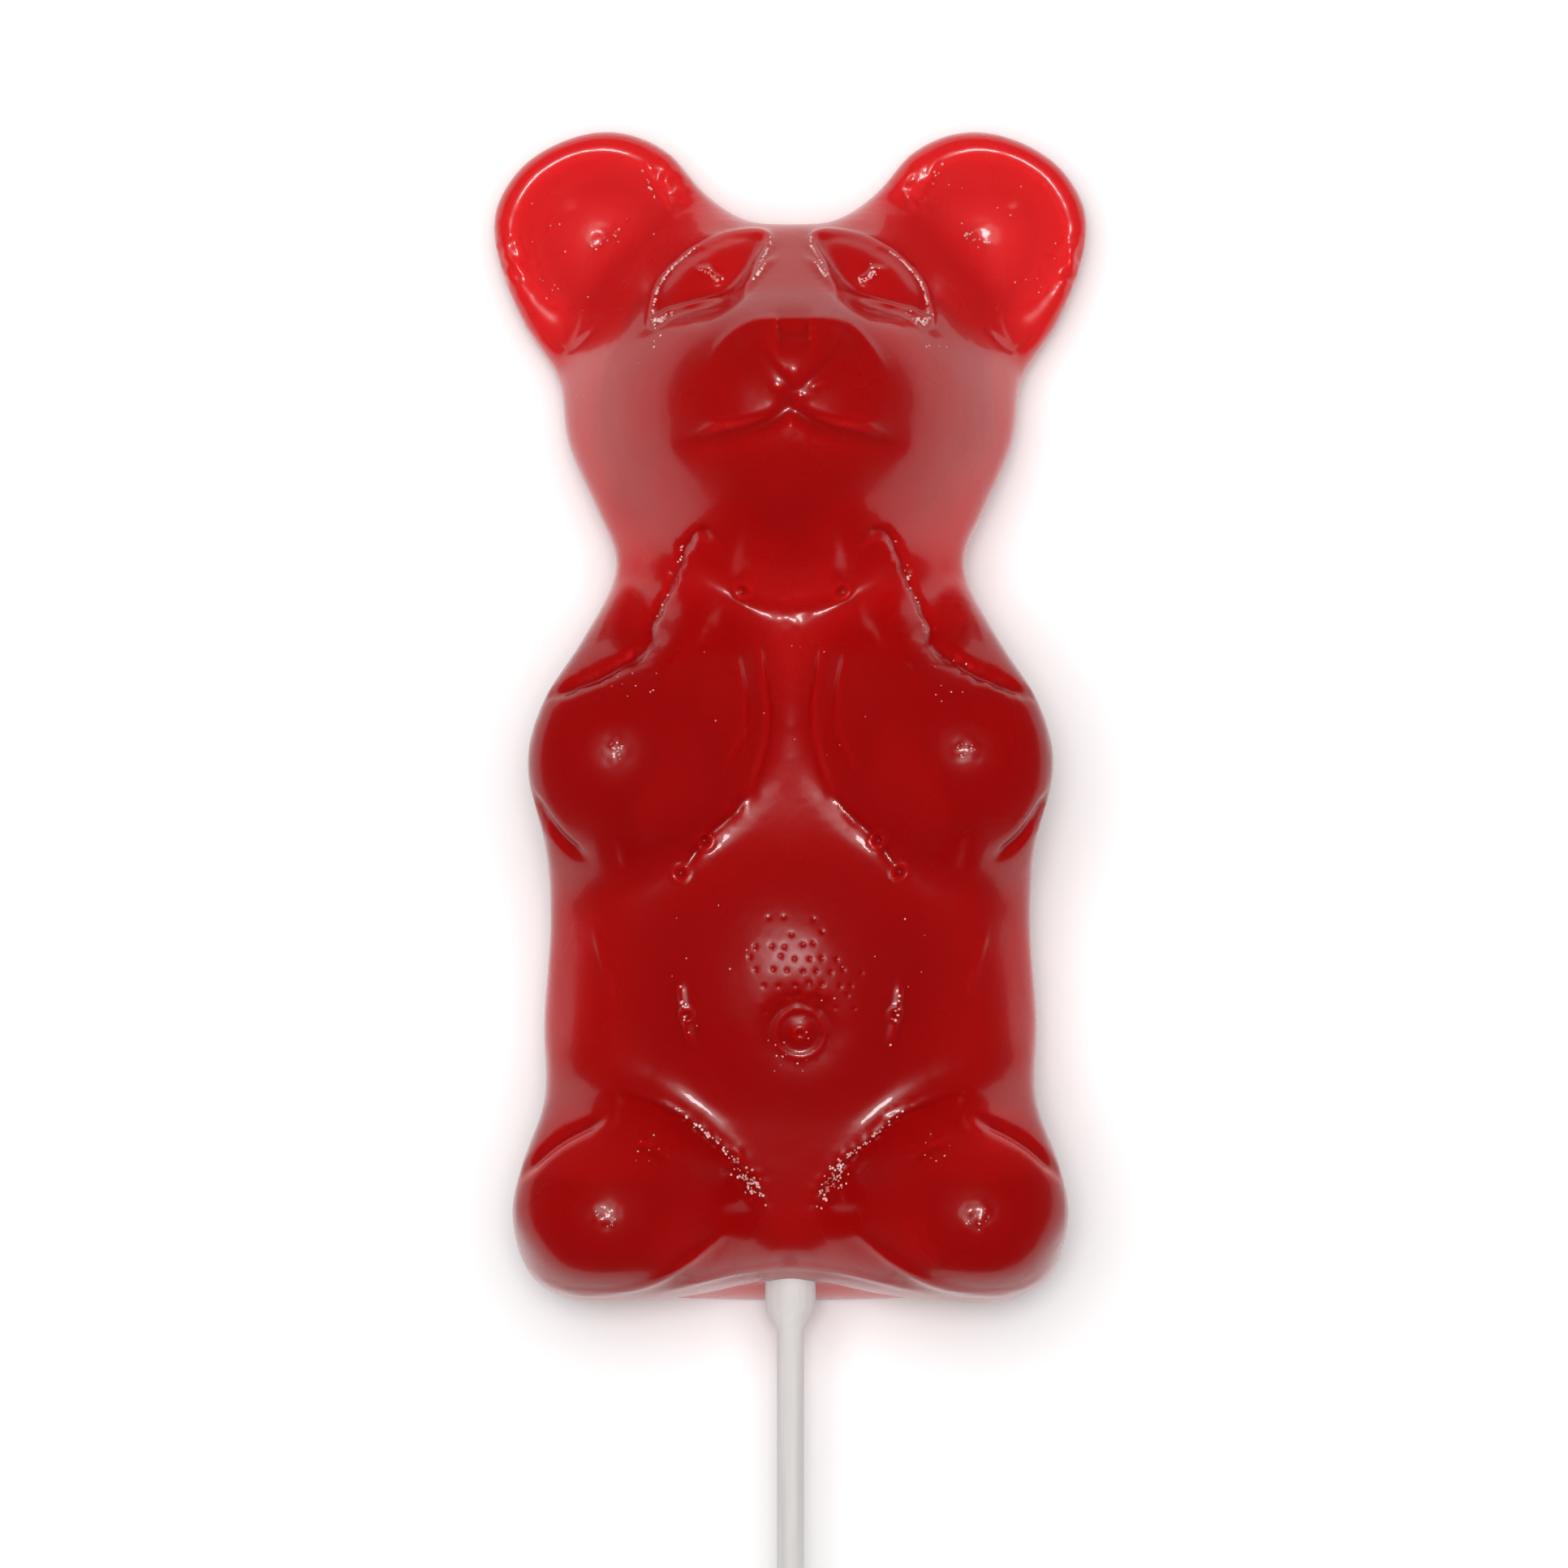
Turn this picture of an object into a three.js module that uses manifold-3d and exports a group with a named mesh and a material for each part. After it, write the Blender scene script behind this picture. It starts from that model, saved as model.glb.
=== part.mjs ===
import * as THREE from "three";
import { mergeVertices } from "three/addons/utils/BufferGeometryUtils.js";
import Module from "manifold-3d";

// A giant gummy bear on a stick, lying on its flat back with its face up.
// Millimetres. +Z is the front of the bear, +Y runs from its feet to its ears, and +X is its left paw.
// The origin is on the flat back, half way up the bear.
// Shapes are worked out in the bear's own sizes, with y = 0 at its base, and moved down by half its height.

const bearHeight = 116.6;
const crownHeight = 106.9; // the dip between the ears
const halfway = bearHeight / 2;

const stick = {
  axisZ: 15, // above the back
  collarRadius: 2.5,
  shaftRadius: 1.35,
  taper: 2.2, // length from collar to shaft
  sunk: 44, // how far the collar runs up inside the bear
  showing: 90, // from the base of the bear to the free end
  tipRound: 0.4,
  clearance: 0.3,
};

// Grid of the front skin, and the rounded edge of the back.
const columns = 28; // from the middle line to one side
const rows = 84;
const edgePull = 0.9; // how much the grid closes up towards the outline
const pullPower = 6; // how near the outline it does so
const bendPower = { base: 12, crown: 5 }; // how soon the grid lines straighten away from the base and crown
const rowStations = [[0, 0], [0.1, 0.08], [0.6, 0.73], [0.93, 0.965], [1, 1]]; // [share of rows, of height]
const curvePoints = 40; // points of the outline curve from one station to the next
const rimHeight = 1;
const wallRings = [
  { inset: 0, z: rimHeight },
  { inset: 0.35, z: 0.3 },
  { inset: 1.1, z: 0 },
];

// Half outline, from the middle of the base, round the foot, waist, arm, neck, cheek and ear to the crown.
const outlineStations = [
  ["base middle", 0, 2.5],
  ["arch", 3.4, 2.5],
  ["arch side", 8.3, 1.6],
  ["sole", 14, 1],
  ["heel", 21.4, 1],
  ["foot corner", 25.4, 3.4],
  ["foot", 27.2, 9.4],
  ["ankle", 26, 15.2],
  ["hip", 24.1, 20.4],
  ["flank", 24.3, 28.2],
  ["waist", 23.6, 38],
  ["under the arm", 24, 45.8],
  ["paw", 25.7, 53.8],
  ["shoulder", 24, 60],
  ["shoulder slope", 20.8, 65],
  ["neck", 17.1, 73.4],
  ["jaw", 18.9, 78.2],
  ["cheek", 22.1, 85.7],
  ["under the ear", 22.9, 91.6],
  ["ear lobe", 26.6, 97.5],
  ["ear side", 29.1, 104],
  ["ear corner", 29.4, 108.4],
  ["ear shoulder", 26.1, 113.6],
  ["ear top", 18.4, bearHeight],
  ["ear inside", 12.3, 114.6],
  ["ear foot", 8.7, 110.5],
  ["brow", 4.2, 107.3],
  ["crown", 0, crownHeight],
];

// Lobes: centre x, y, reach rx, ry, height z at the rim, rise above it in the middle,
// how square the plan is, how flat the crest, and how widely it blends into what lies under it.
// A taper makes the plan wider above its middle than below.
const lobes = {
  torso: { x: 0, y: 34, rx: 30, ry: 40, z: 22.2, rise: 7.6, plan: 2, crest: 2 },
  neck: { x: 0, y: 79, rx: 19, ry: 16, z: 12, rise: 15.4, plan: 2, crest: 2.4, blend: 3 },
  arm: { x: 13.4, y: 56, rx: 14.6, ry: 15, z: 24.6, rise: 8.4, plan: 2, crest: 2, blend: 1.2 },
  belly: { x: 0.2, y: 33.6, rx: 12.6, ry: 13, z: 29, rise: 3, plan: 2, crest: 2, blend: 1 },
  thigh: { x: 14, y: 9.8, rx: 13, ry: 12.6, z: 24.6, rise: 8.4, plan: 2, crest: 2, blend: 1 },
  paw: { x: 17.4, y: 54.6, rx: 9.2, ry: 9.2, z: 31, rise: 5, plan: 2, crest: 2, blend: 4 },
  foot: { x: 17.8, y: 10, rx: 9.6, ry: 9.2, z: 31.4, rise: 5.4, plan: 2, crest: 2, blend: 4 },
  ear: { x: 19, y: 105, rx: 16, ry: 16, z: 0, rise: 12.2, plan: 2, crest: 8 },
  head: { x: 0, y: 88, rx: 22.8, ry: 24.6, taper: -0.15, z: 12, rise: 22, plan: 2, crest: 1.6, blend: 3 },
  chin: { x: 0, y: 82, rx: 8, ry: 6, z: 30.6, rise: 3, plan: 2, crest: 2, blend: 3 },
  muzzle: { x: 0, y: 89, rx: 13.4, ry: 11, z: 30, rise: 6.8, plan: 2, crest: 2.4, blend: 4 },
  nose: { x: 0.3, y: 93.2, rx: 4, ry: 4, taper: 0.4, z: 34.8, rise: 2.4, plan: 2.4, crest: 2.4, blend: 2 },
};

// The flanks of the trunk slope outwards: their height at the outline, by place up the bear.
const flankStations = [[0, 20.6], [44, 20.6], [51, 27], [57, 26], [63, 20], [69, 16], [90, 13]];
const flankSlope = 1.5;

const earDish = { x: 19, y: 106, rx: 8.4, ry: 8.2, depth: 4.2, hollow: 2.4 };

// Leaf-shaped eye: its level drops up the brow, and it fades out from one share of its width to the other.
const eye = {
  x: 8.1,
  y: 101.3,
  halfLength: 7,
  halfWidth: 3.3,
  narrowest: 0.3,
  endLength: 1.25,
  turn: -38,
  level: 22,
  drop: 0.2,
  bulge: 1.2,
  share: 0.88,
  fadeFrom: 0.65,
  fadeTo: 1.3,
};
const navel = { x: 0.9, y: 27.8, radius: 2.3, groove: 1.2, depth: 0.9 };
const mouth = {
  tipY: 88.8,
  cornerX: 10.2,
  cornerY: 84.8,
  curve: 2.2,
  width: 1.3,
  depth: 0.7,
  fadeFrom: 0.8,
  fadeTo: 1.2,
};

// The rounded edge along the outline, by place up the bear: how far in it starts and how far down it drops.
const edgeStations = [
  [0, 5], [6, 3.6], [10, 1.3], [20, 1], [46, 1], [54, 1.3], [64, 1], [92, 1], [102, 1.3],
];
const dropStations = [
  [0, 10], [6, 7], [10, 1.9], [20, 1.3], [46, 1.3], [54, 1.9], [64, 1.3], [92, 1.3], [102, 1.8],
];
const crownEdge = { inset: 2, drop: 3.5, fromY: 92, toY: 100, fromX: 6, toX: 12 };

// Lip that runs along the base behind the stick.
const lip = {
  halfSpan: 21.5,
  height: 10.5,
  reach: 4.2,
  inner: 10,
  endRise: 1,
  endCurve: 3,
  steps: 14,
  curveSteps: 6,
};

const flankBlend = 4;
const earBlend = 2;
const barSides = 32;
const boreMouth = 5; // how far the bore is cut out beyond the base
const weld = 1e-4;
const colors = { gummy: 0xa00c10, paper: 0xe8e4e0 };

const { clamp, smoothstep, lerp, degToRad } = THREE.MathUtils;

// Larger of two heights, blended over k.
function softMax(a, b, k) {
  const t = clamp(0.5 + (0.5 * (a - b)) / k, 0, 1);
  return lerp(b, a, t) + k * t * (1 - t);
}

const softMin = (a, b, k) => -softMax(-a, -b, k);

// Straight line between the stations of a table of [place, value] rows.
function between(table, place) {
  const next = table.findIndex((row) => row[0] >= place);
  if (next <= 0) return table[next < 0 ? table.length - 1 : 0][1];
  const [[p0, v0], [p1, v1]] = [table[next - 1], table[next]];
  return lerp(v0, v1, (place - p0) / (p1 - p0));
}

// Height of a lobe over a point; beyond its reach it falls away below its rim.
function lobeHeight(lobe, x, y) {
  const up = (y - lobe.y) / lobe.ry;
  const reach = lobe.rx * (1 + (lobe.taper ?? 0) * clamp(up, -1, 1));
  const share = Math.abs((x - lobe.x) / reach) ** lobe.plan + Math.abs(up) ** lobe.plan;
  return lobe.z + lobe.rise * (1 - share ** (lobe.crest / lobe.plan));
}

// The half outline as close points, from the base middle to the crown.
const halfOutline = new THREE.CatmullRomCurve3(
  outlineStations.map(([, x, y]) => new THREE.Vector3(x, y, 0)),
).getPoints(curvePoints * (outlineStations.length - 1));

const stationIndex = (name) => curvePoints * outlineStations.findIndex((station) => station[0] === name);
const lowCorner = stationIndex("foot corner");
const highCorner = stationIndex("ear corner");

function distanceToOutline(x, y) {
  const here = new THREE.Vector3(x, y, 0);
  let near = 1;
  for (let i = 1; i < halfOutline.length - 1; i++) {
    if (halfOutline[i].distanceToSquared(here) < halfOutline[near].distanceToSquared(here)) near = i;
  }
  const foot = new THREE.Vector3();
  const toSpan = (i) => new THREE.Line3(halfOutline[i], halfOutline[i + 1])
    .closestPointToPoint(here, true, foot).distanceTo(here);
  return Math.min(toSpan(near - 1), toSpan(near));
}

// Point of a stretch of the outline at a share of the range of one coordinate, which only grows along it.
function pointAlong(from, to, key, share) {
  const step = Math.sign(to - from);
  const wanted = lerp(halfOutline[from][key], halfOutline[to][key], share);
  let i = from;
  while (i !== to - step && halfOutline[i + step][key] < wanted) i += step;
  const [a, b] = [halfOutline[i], halfOutline[i + step]];
  const part = clamp((wanted - a[key]) / (b[key] - a[key]), 0, 1);
  return a.clone().lerp(b, part);
}

const pull = (t) => edgePull * t ** pullPower * (1 - t);
const pullToEnd = (t) => t + pull(t);
const pullToBothEnds = (t) => t + pull(t) - pull(1 - t);

// Plan of the skin: u runs from the middle line (0) to the side (1), v from the base (0) to the crown (1).
// The grid lines bend along with the base and the crown next to them, and straighten further away.
function planPoint(u, v) {
  const last = halfOutline.length - 1;
  const across = (from, to, share) => halfOutline[from].clone().lerp(halfOutline[to], share);
  const side = pointAlong(lowCorner, highCorner, "y", v);
  const baseBend = pointAlong(0, lowCorner, "x", u).sub(across(0, lowCorner, u));
  const crownBend = pointAlong(last, highCorner, "x", u).sub(across(last, highCorner, u));
  return across(0, last, v).lerp(side, u)
    .addScaledVector(baseBend, (1 - v) ** bendPower.base)
    .addScaledVector(crownBend, v ** bendPower.crown);
}

// Dished front of the ear.
function earDishDepth(x, y) {
  const q = Math.hypot((x - earDish.x) / earDish.rx, (y - earDish.y) / earDish.ry);
  return earDish.depth * Math.max(0, 1 - q ** earDish.hollow);
}

// The eye is let into the slope of the brow: a low ball that faces forward, at its own level.
function withEye(z, x, y) {
  const turn = degToRad(eye.turn);
  const along = (x - eye.x) * Math.cos(turn) + (y - eye.y) * Math.sin(turn);
  const across = -(x - eye.x) * Math.sin(turn) + (y - eye.y) * Math.cos(turn);
  const halfWidth = eye.halfWidth * Math.max(eye.narrowest, 1 - (along / eye.halfLength) ** 2);
  const q = Math.hypot(across / halfWidth, along / (eye.endLength * eye.halfLength));
  const ball = eye.level - eye.drop * (y - eye.y) + eye.bulge * Math.max(0, 1 - q ** 2);
  return lerp(z, ball, eye.share * (1 - smoothstep(q, eye.fadeFrom, eye.fadeTo)));
}

function navelRelief(x, y) {
  const r = Math.hypot(x - navel.x, y - navel.y);
  return -navel.depth * Math.exp(-(((r - navel.radius) / navel.groove) ** 2));
}

// Two curved lip lines that fall from under the nose to the corners of the mouth.
function mouthRelief(x, y) {
  const t = x / mouth.cornerX;
  const line = lerp(mouth.cornerY, mouth.tipY, Math.max(0, 1 - t) ** mouth.curve);
  const fade = 1 - smoothstep(t, mouth.fadeFrom, mouth.fadeTo);
  return -mouth.depth * fade * Math.exp(-(((y - line) / mouth.width) ** 2));
}

// Height of the front over a point, before the edge is rounded down to the outline.
function reliefHeight(x, y, depth) {
  const side = Math.abs(x);
  const over = (name) => lobeHeight(lobes[name], side, y);
  const join = (z, name) => softMax(z, over(name), lobes[name].blend);
  const flank = between(flankStations, y) + flankSlope * depth;
  const trunk = softMin(["neck", "arm"].reduce(join, over("torso")), flank, flankBlend);
  const body = ["belly", "thigh", "paw", "foot"].reduce(join, trunk);
  const ear = over("ear") - earDishDepth(side, y);
  const head = softMax(over("head"), ear, earBlend);
  const z = ["chin", "muzzle", "nose"].reduce(join, softMax(body, head, lobes.head.blend));
  return withEye(z, side, y) + navelRelief(x, y) + mouthRelief(side, y);
}

function frontHeight(x, y) {
  const side = Math.abs(x);
  const depth = distanceToOutline(side, y);
  const nearCrown = smoothstep(y, crownEdge.fromY, crownEdge.toY)
    * (1 - smoothstep(side, crownEdge.fromX, crownEdge.toX));
  const inset = lerp(between(edgeStations, y), crownEdge.inset, nearCrown);
  const drop = lerp(between(dropStations, y), crownEdge.drop, nearCrown);
  const inward = 1 - Math.min(depth / inset, 1);
  return reliefHeight(x, y, depth) - drop * (1 - Math.sqrt(Math.max(0, 1 - inward ** 2)));
}

// The closed skin: a plane pulled to the outline and raised to the relief, an upright wall and a flat back.
function bearGeometry() {
  const plane = new THREE.PlaneGeometry(2, 1, 2 * columns, rows);
  const place = plane.getAttribute("position");
  const across = 2 * columns + 1;
  const points = [];
  for (let i = 0; i < place.count; i++) {
    const v = between(rowStations, pullToBothEnds(place.getY(i) + 0.5));
    const plan = planPoint(pullToEnd(Math.abs(place.getX(i))), v);
    const x = Math.sign(place.getX(i)) * plan.x;
    points.push([x, plan.y, frontHeight(x, plan.y)]);
  }

  // Each cell is split along the diagonal that lies closer to the true surface.
  const faces = [];
  for (let r = 0; r < rows; r++) {
    for (let c = 0; c < across - 1; c++) {
      const a = r * across + c;
      const [b, d, e] = [a + 1, a + across, a + across + 1];
      const middle = (p, q, key) => (points[p][key] + points[q][key]) / 2;
      const miss = (p, q) => Math.abs(frontHeight(middle(p, q, 0), middle(p, q, 1)) - middle(p, q, 2));
      if (miss(a, e) < miss(b, d)) faces.push(a, d, e, a, e, b);
      else faces.push(a, d, b, b, d, e);
    }
  }

  // The edge of the grid, anticlockwise seen from the front.
  const edge = [];
  for (let c = 0; c < across; c++) edge.push(rows * across + c);
  for (let r = rows - 1; r >= 0; r--) edge.push(r * across + across - 1);
  for (let c = across - 2; c >= 0; c--) edge.push(c);
  for (let r = 1; r < rows; r++) edge.push(r * across);

  let ring = edge;
  for (const { inset, z } of wallRings) {
    const next = edge.map((index, k) => {
      const before = points[edge[(k + edge.length - 1) % edge.length]];
      const after = points[edge[(k + 1) % edge.length]];
      const inward = new THREE.Vector2(before[1] - after[1], after[0] - before[0]).normalize();
      points.push([points[index][0] + inset * inward.x, points[index][1] + inset * inward.y, z]);
      return points.length - 1;
    });
    for (let k = 0; k < ring.length; k++) {
      const [a, b] = [ring[k], ring[(k + 1) % ring.length]];
      const [c, d] = [next[k], next[(k + 1) % ring.length]];
      faces.push(a, c, b, b, c, d);
    }
    ring = next;
  }
  const backOutline = ring.map((index) => new THREE.Vector2(points[index][0], points[index][1]));
  for (const [a, b, c] of THREE.ShapeUtils.triangulateShape(backOutline, [])) {
    faces.push(ring[a], ring[c], ring[b]);
  }
  return new THREE.BufferGeometry()
    .setAttribute("position", new THREE.Float32BufferAttribute(points.flat(), 3))
    .setIndex(faces)
    .translate(0, -halfway, 0);
}

// The lip: its cross-section swept from side to side, its ends raised to the heels.
function lipGeometry() {
  const section = new THREE.Shape();
  section.moveTo(-lip.inner, 0);
  section.lineTo(-wallRings[2].inset, wallRings[2].z);
  section.lineTo(-wallRings[1].inset, wallRings[1].z);
  section.lineTo(-wallRings[0].inset, wallRings[0].z);
  section.bezierCurveTo(0, lip.height / 2, -lip.reach / 2, lip.height, -lip.reach, lip.height);
  section.lineTo(-lip.inner, lip.height);
  section.closePath();
  const swept = new THREE.ExtrudeGeometry(section, {
    depth: 2 * lip.halfSpan, steps: lip.steps, curveSegments: lip.curveSteps, bevelEnabled: false,
  });
  swept.translate(0, 0, -lip.halfSpan).applyMatrix4(
    new THREE.Matrix4().makeBasis(
      new THREE.Vector3(0, -1, 0), new THREE.Vector3(0, 0, 1), new THREE.Vector3(-1, 0, 0),
    ),
  );
  const place = swept.getAttribute("position");
  for (let i = 0; i < place.count; i++) {
    place.setY(i, place.getY(i) + lip.endRise * Math.abs(place.getX(i) / lip.halfSpan) ** lip.endCurve);
  }
  return swept.translate(0, -halfway, 0);
}

// A round bar along Y from a profile of [radius, y] corners.
function turnedBar(profile) {
  const corners = profile.map(([radius, y]) => new THREE.Vector2(radius, y));
  return new THREE.LatheGeometry(corners, barSides).translate(0, -halfway, stick.axisZ);
}

function stickGeometry() {
  const end = -stick.showing;
  return turnedBar([
    [0, end],
    [stick.shaftRadius - stick.tipRound, end],
    [stick.shaftRadius, end + stick.tipRound],
    [stick.shaftRadius, -stick.taper],
    [stick.collarRadius, 0],
    [stick.collarRadius, stick.sunk - stick.tipRound],
    [stick.collarRadius - stick.tipRound, stick.sunk],
    [0, stick.sunk],
  ]);
}

function boreGeometry() {
  const radius = stick.collarRadius + stick.clearance;
  return turnedBar([
    [0, -boreMouth],
    [radius, -boreMouth],
    [radius, stick.sunk + stick.clearance],
    [0, stick.sunk + stick.clearance],
  ]);
}

const wasm = await Module();
wasm.setup();

function toSolid(geometry) {
  const bare = new THREE.BufferGeometry().setAttribute("position", geometry.getAttribute("position"));
  if (geometry.getIndex()) bare.setIndex(geometry.getIndex());
  const merged = mergeVertices(bare, weld);
  return new wasm.Manifold(
    new wasm.Mesh({
      numProp: 3,
      vertProperties: merged.getAttribute("position").array,
      triVerts: new Uint32Array(merged.getIndex().array),
    }),
  );
}

function toGeometry(solid) {
  const mesh = solid.getMesh();
  return new THREE.BufferGeometry()
    .setAttribute("position", new THREE.BufferAttribute(mesh.vertProperties, 3))
    .setIndex(new THREE.BufferAttribute(mesh.triVerts, 1));
}

function bearMesh() {
  const solid = toSolid(bearGeometry()).add(toSolid(lipGeometry())).subtract(toSolid(boreGeometry()));
  const gummy = new THREE.MeshStandardMaterial({ color: colors.gummy, roughness: 0.15, metalness: 0 });
  const mesh = new THREE.Mesh(toGeometry(solid), gummy);
  mesh.name = "gummy_bear";
  return mesh;
}

function stickMesh() {
  const white = new THREE.MeshStandardMaterial({ color: colors.paper, roughness: 0.45, metalness: 0 });
  const mesh = new THREE.Mesh(toGeometry(toSolid(stickGeometry())), white);
  mesh.name = "stick";
  return mesh;
}

const gummyBearOnAStick = new THREE.Group();
gummyBearOnAStick.add(bearMesh(), stickMesh());

export default gummyBearOnAStick;
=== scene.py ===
import math
import random

import bmesh
import bpy
import numpy as np
from mathutils import Matrix, Vector, noise
from mathutils.bvhtree import BVHTree


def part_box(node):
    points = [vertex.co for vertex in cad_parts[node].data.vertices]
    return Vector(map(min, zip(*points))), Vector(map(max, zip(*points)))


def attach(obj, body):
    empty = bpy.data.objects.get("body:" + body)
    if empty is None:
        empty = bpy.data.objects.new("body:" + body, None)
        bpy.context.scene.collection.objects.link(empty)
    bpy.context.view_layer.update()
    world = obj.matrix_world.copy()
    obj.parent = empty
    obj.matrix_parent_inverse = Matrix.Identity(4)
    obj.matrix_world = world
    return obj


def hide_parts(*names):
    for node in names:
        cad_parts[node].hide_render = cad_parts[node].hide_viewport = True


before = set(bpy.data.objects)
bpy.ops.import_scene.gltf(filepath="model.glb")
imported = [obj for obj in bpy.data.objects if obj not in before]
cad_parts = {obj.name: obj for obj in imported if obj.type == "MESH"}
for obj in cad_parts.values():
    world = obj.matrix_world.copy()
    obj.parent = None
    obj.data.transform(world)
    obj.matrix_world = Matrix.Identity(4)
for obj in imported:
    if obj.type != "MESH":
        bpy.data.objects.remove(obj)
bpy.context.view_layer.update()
mm = 0.001
bearLow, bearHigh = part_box("gummy_bear")
stickLow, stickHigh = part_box("stick")
baseY = bearLow.y  # the bear's base; places on the bear are given as x and height above the base, in mm
print("frame loaded, the bear is", round((bearHigh.y - bearLow.y) / mm, 1), "mm tall")


# Camera, light and floor

view = {
    "imageSize": 1932,  # pixels
    "pixelsPerMm": 12.5,
    "middlePixel": 974,  # column of the bear's middle line
    "basePixel": 1612,  # row of the bear's base
    "distance": 1.0,  # m, from the camera to the widest part of the bear
    "outlineHeight": 17 * mm,
    "sensor": 36,
}

studio = {
    "floorSize": 6.0,
    "floorColor": (0.94, 0.94, 0.94, 1),
    "floorRoughness": 0.9,
    "floorSheen": 0.1,
    "roomLight": 0.05,
    # place, size across and power of each softbox, and whether it shows in the gloss
    "softboxes": {
        "keyLight": ((-0.05, 0.1, 1.3), 0.9, 14.5, False),
        "sparkLight": ((-0.01, 0.03, 1.2), 0.2, 4.2, True),
        "panelLight": ((-0.02, 0.05, 1.2), 0.6, 0.9, True),
    },
}


def makeCamera():
    halfImage = view["imageSize"] / 2
    centreX = (halfImage - view["middlePixel"]) / view["pixelsPerMm"] * mm
    centreY = baseY + (view["basePixel"] - halfImage) / view["pixelsPerMm"] * mm
    frameWidth = view["imageSize"] / view["pixelsPerMm"] * mm
    data = bpy.data.cameras.new("camera")
    data.sensor_width = view["sensor"]
    data.lens = view["sensor"] * view["distance"] / frameWidth
    camera = bpy.data.objects.new("camera", data)
    camera.location = (centreX, centreY, view["distance"] + view["outlineHeight"])
    bpy.context.scene.collection.objects.link(camera)
    bpy.context.scene.camera = camera


def addSoftbox(name, place, size, power, shows):
    data = bpy.data.lights.new(name, "AREA")
    data.shape = "DISK"
    data.size = size
    data.energy = power
    box = bpy.data.objects.new(name, data)
    box.location = place
    box.rotation_euler = (-Vector(place)).to_track_quat("-Z", "Y").to_euler()
    box.visible_camera = False
    box.visible_glossy = shows
    bpy.context.scene.collection.objects.link(box)


def makeStudio():
    scene = bpy.context.scene
    scene.view_settings.view_transform = "Standard"
    world = bpy.data.worlds.new("room")
    world.use_nodes = True
    world.node_tree.nodes["Background"].inputs["Color"].default_value = (1, 1, 1, 1)
    world.node_tree.nodes["Background"].inputs["Strength"].default_value = studio["roomLight"]
    scene.world = world
    for name, (place, size, power, shows) in studio["softboxes"].items():
        addSoftbox(name, place, size, power, shows)

    bm = bmesh.new()
    bmesh.ops.create_grid(bm, x_segments=1, y_segments=1, size=studio["floorSize"] / 2)
    floor = toObject(bm, "floor")
    paint, _, shader = newMaterial("paleFloor")
    shader.inputs["Base Color"].default_value = studio["floorColor"]
    shader.inputs["Roughness"].default_value = studio["floorRoughness"]
    shader.inputs["Specular IOR Level"].default_value = studio["floorSheen"]
    floor.data.materials.append(paint)


def toObject(bm, name):
    mesh = bpy.data.meshes.new(name)
    bm.to_mesh(mesh)
    bm.free()
    piece = bpy.data.objects.new(name, mesh)
    bpy.context.scene.collection.objects.link(piece)
    return piece


def newMaterial(name):
    material = bpy.data.materials.new(name)
    material.use_nodes = True
    return material, material.node_tree, material.node_tree.nodes["Principled BSDF"]


makeCamera()
makeStudio()
print("camera and studio ready")


# Materials

gummyLook = {
    # how red the gummy is where it is this many mm thick: lighter where thin, partly the gummy's own
    # clearer thin parts and partly painted light shining through them
    "tones": [
        (6, (0.680, 0.0200, 0.0220)),
        (12, (0.610, 0.0140, 0.0160)),
        (18, (0.570, 0.0090, 0.0100)),
        (23, (0.440, 0.0040, 0.0044)),
        (28, (0.355, 0.0022, 0.0024)),
        (36, (0.300, 0.0012, 0.0012)),
    ],
    # places where the red is made lighter or darker than the thickness alone gives, in mm: place as x,
    # height
    #     # and z, reach, and the change in thickness that it counts as
    "shades": {
        "head": ((0, 87, 30), 22, -6),
        "belly": ((0, 26, 28), 26, 5),
    },
    "thickest": 40,
    "patchCore": 0.45,  # share of a patch's reach where it is at full strength
    "mottle": 0.10,
    "mottleScale": 90,
    "mottleRange": (0.2, 0.8),
    "roughness": (0.24, 0.34),
    "coat": 0.3,
    "coatRoughness": 0.06,
    "ior": 1.34,
    "scatterRadius": (1.0, 0.05, 0.05),
    "scatterDepth": 5 * mm,
    "rippleScale": 330,
    "rippleHeight": 0.05 * mm,
    "dullCentre": (1.0, 33.5, 32),  # x, height up the bear and z of the dull patch on the belly, mm
    "dullReach": 9.5,
    "dullCoat": 0.0,  # the coat left in its middle
}

bubbleAndGlintLook = {
    # the bubbles are real relief, but their pale pinks are painted highlight that makes them read as glints
    "clear": (0.52, 0.12, 0.11, 1),
    "paleGlint": (0.84, 0.56, 0.53, 1),
    "toneRange": (0.35, 0.65),
    "grain": 700,
    "roughness": (0.08, 0.3),
    "roughRange": (0.3, 0.7),
    "coat": 0.6,
}

paperLook = {
    "dark": (0.60, 0.575, 0.56, 1),
    "light": (0.70, 0.675, 0.66, 1),
    "toneRange": (0.3, 0.7),
    "fibreScale": (900, 60, 900),
    "fibreHeight": 0.02 * mm,
    "roughness": (0.38, 0.55),
    "roughRange": (0.3, 0.7),
    "coat": 0.6,
    "coatRoughness": 0.3,
}


def addNode(tree, kind, **sockets):
    node = tree.nodes.new(kind)
    for name, value in sockets.items():
        node.inputs[name.replace("_", " ")].default_value = value
    return node


def addMath(tree, operation, a, b=0.0):
    node = tree.nodes.new("ShaderNodeMath")
    node.operation = operation
    for socket, value in zip(node.inputs, (a, b)):
        if isinstance(value, (int, float)):
            socket.default_value = value
        else:
            tree.links.new(value, socket)
    return node.outputs["Value"]


def addRange(tree, value, fromLow, fromHigh, low, high, kind="SMOOTHSTEP"):
    node = addNode(tree, "ShaderNodeMapRange", From_Min=fromLow, From_Max=fromHigh, To_Min=low, To_Max=high)
    node.interpolation_type = kind
    tree.links.new(value, node.inputs["Value"])
    return node.outputs["Result"]


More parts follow.
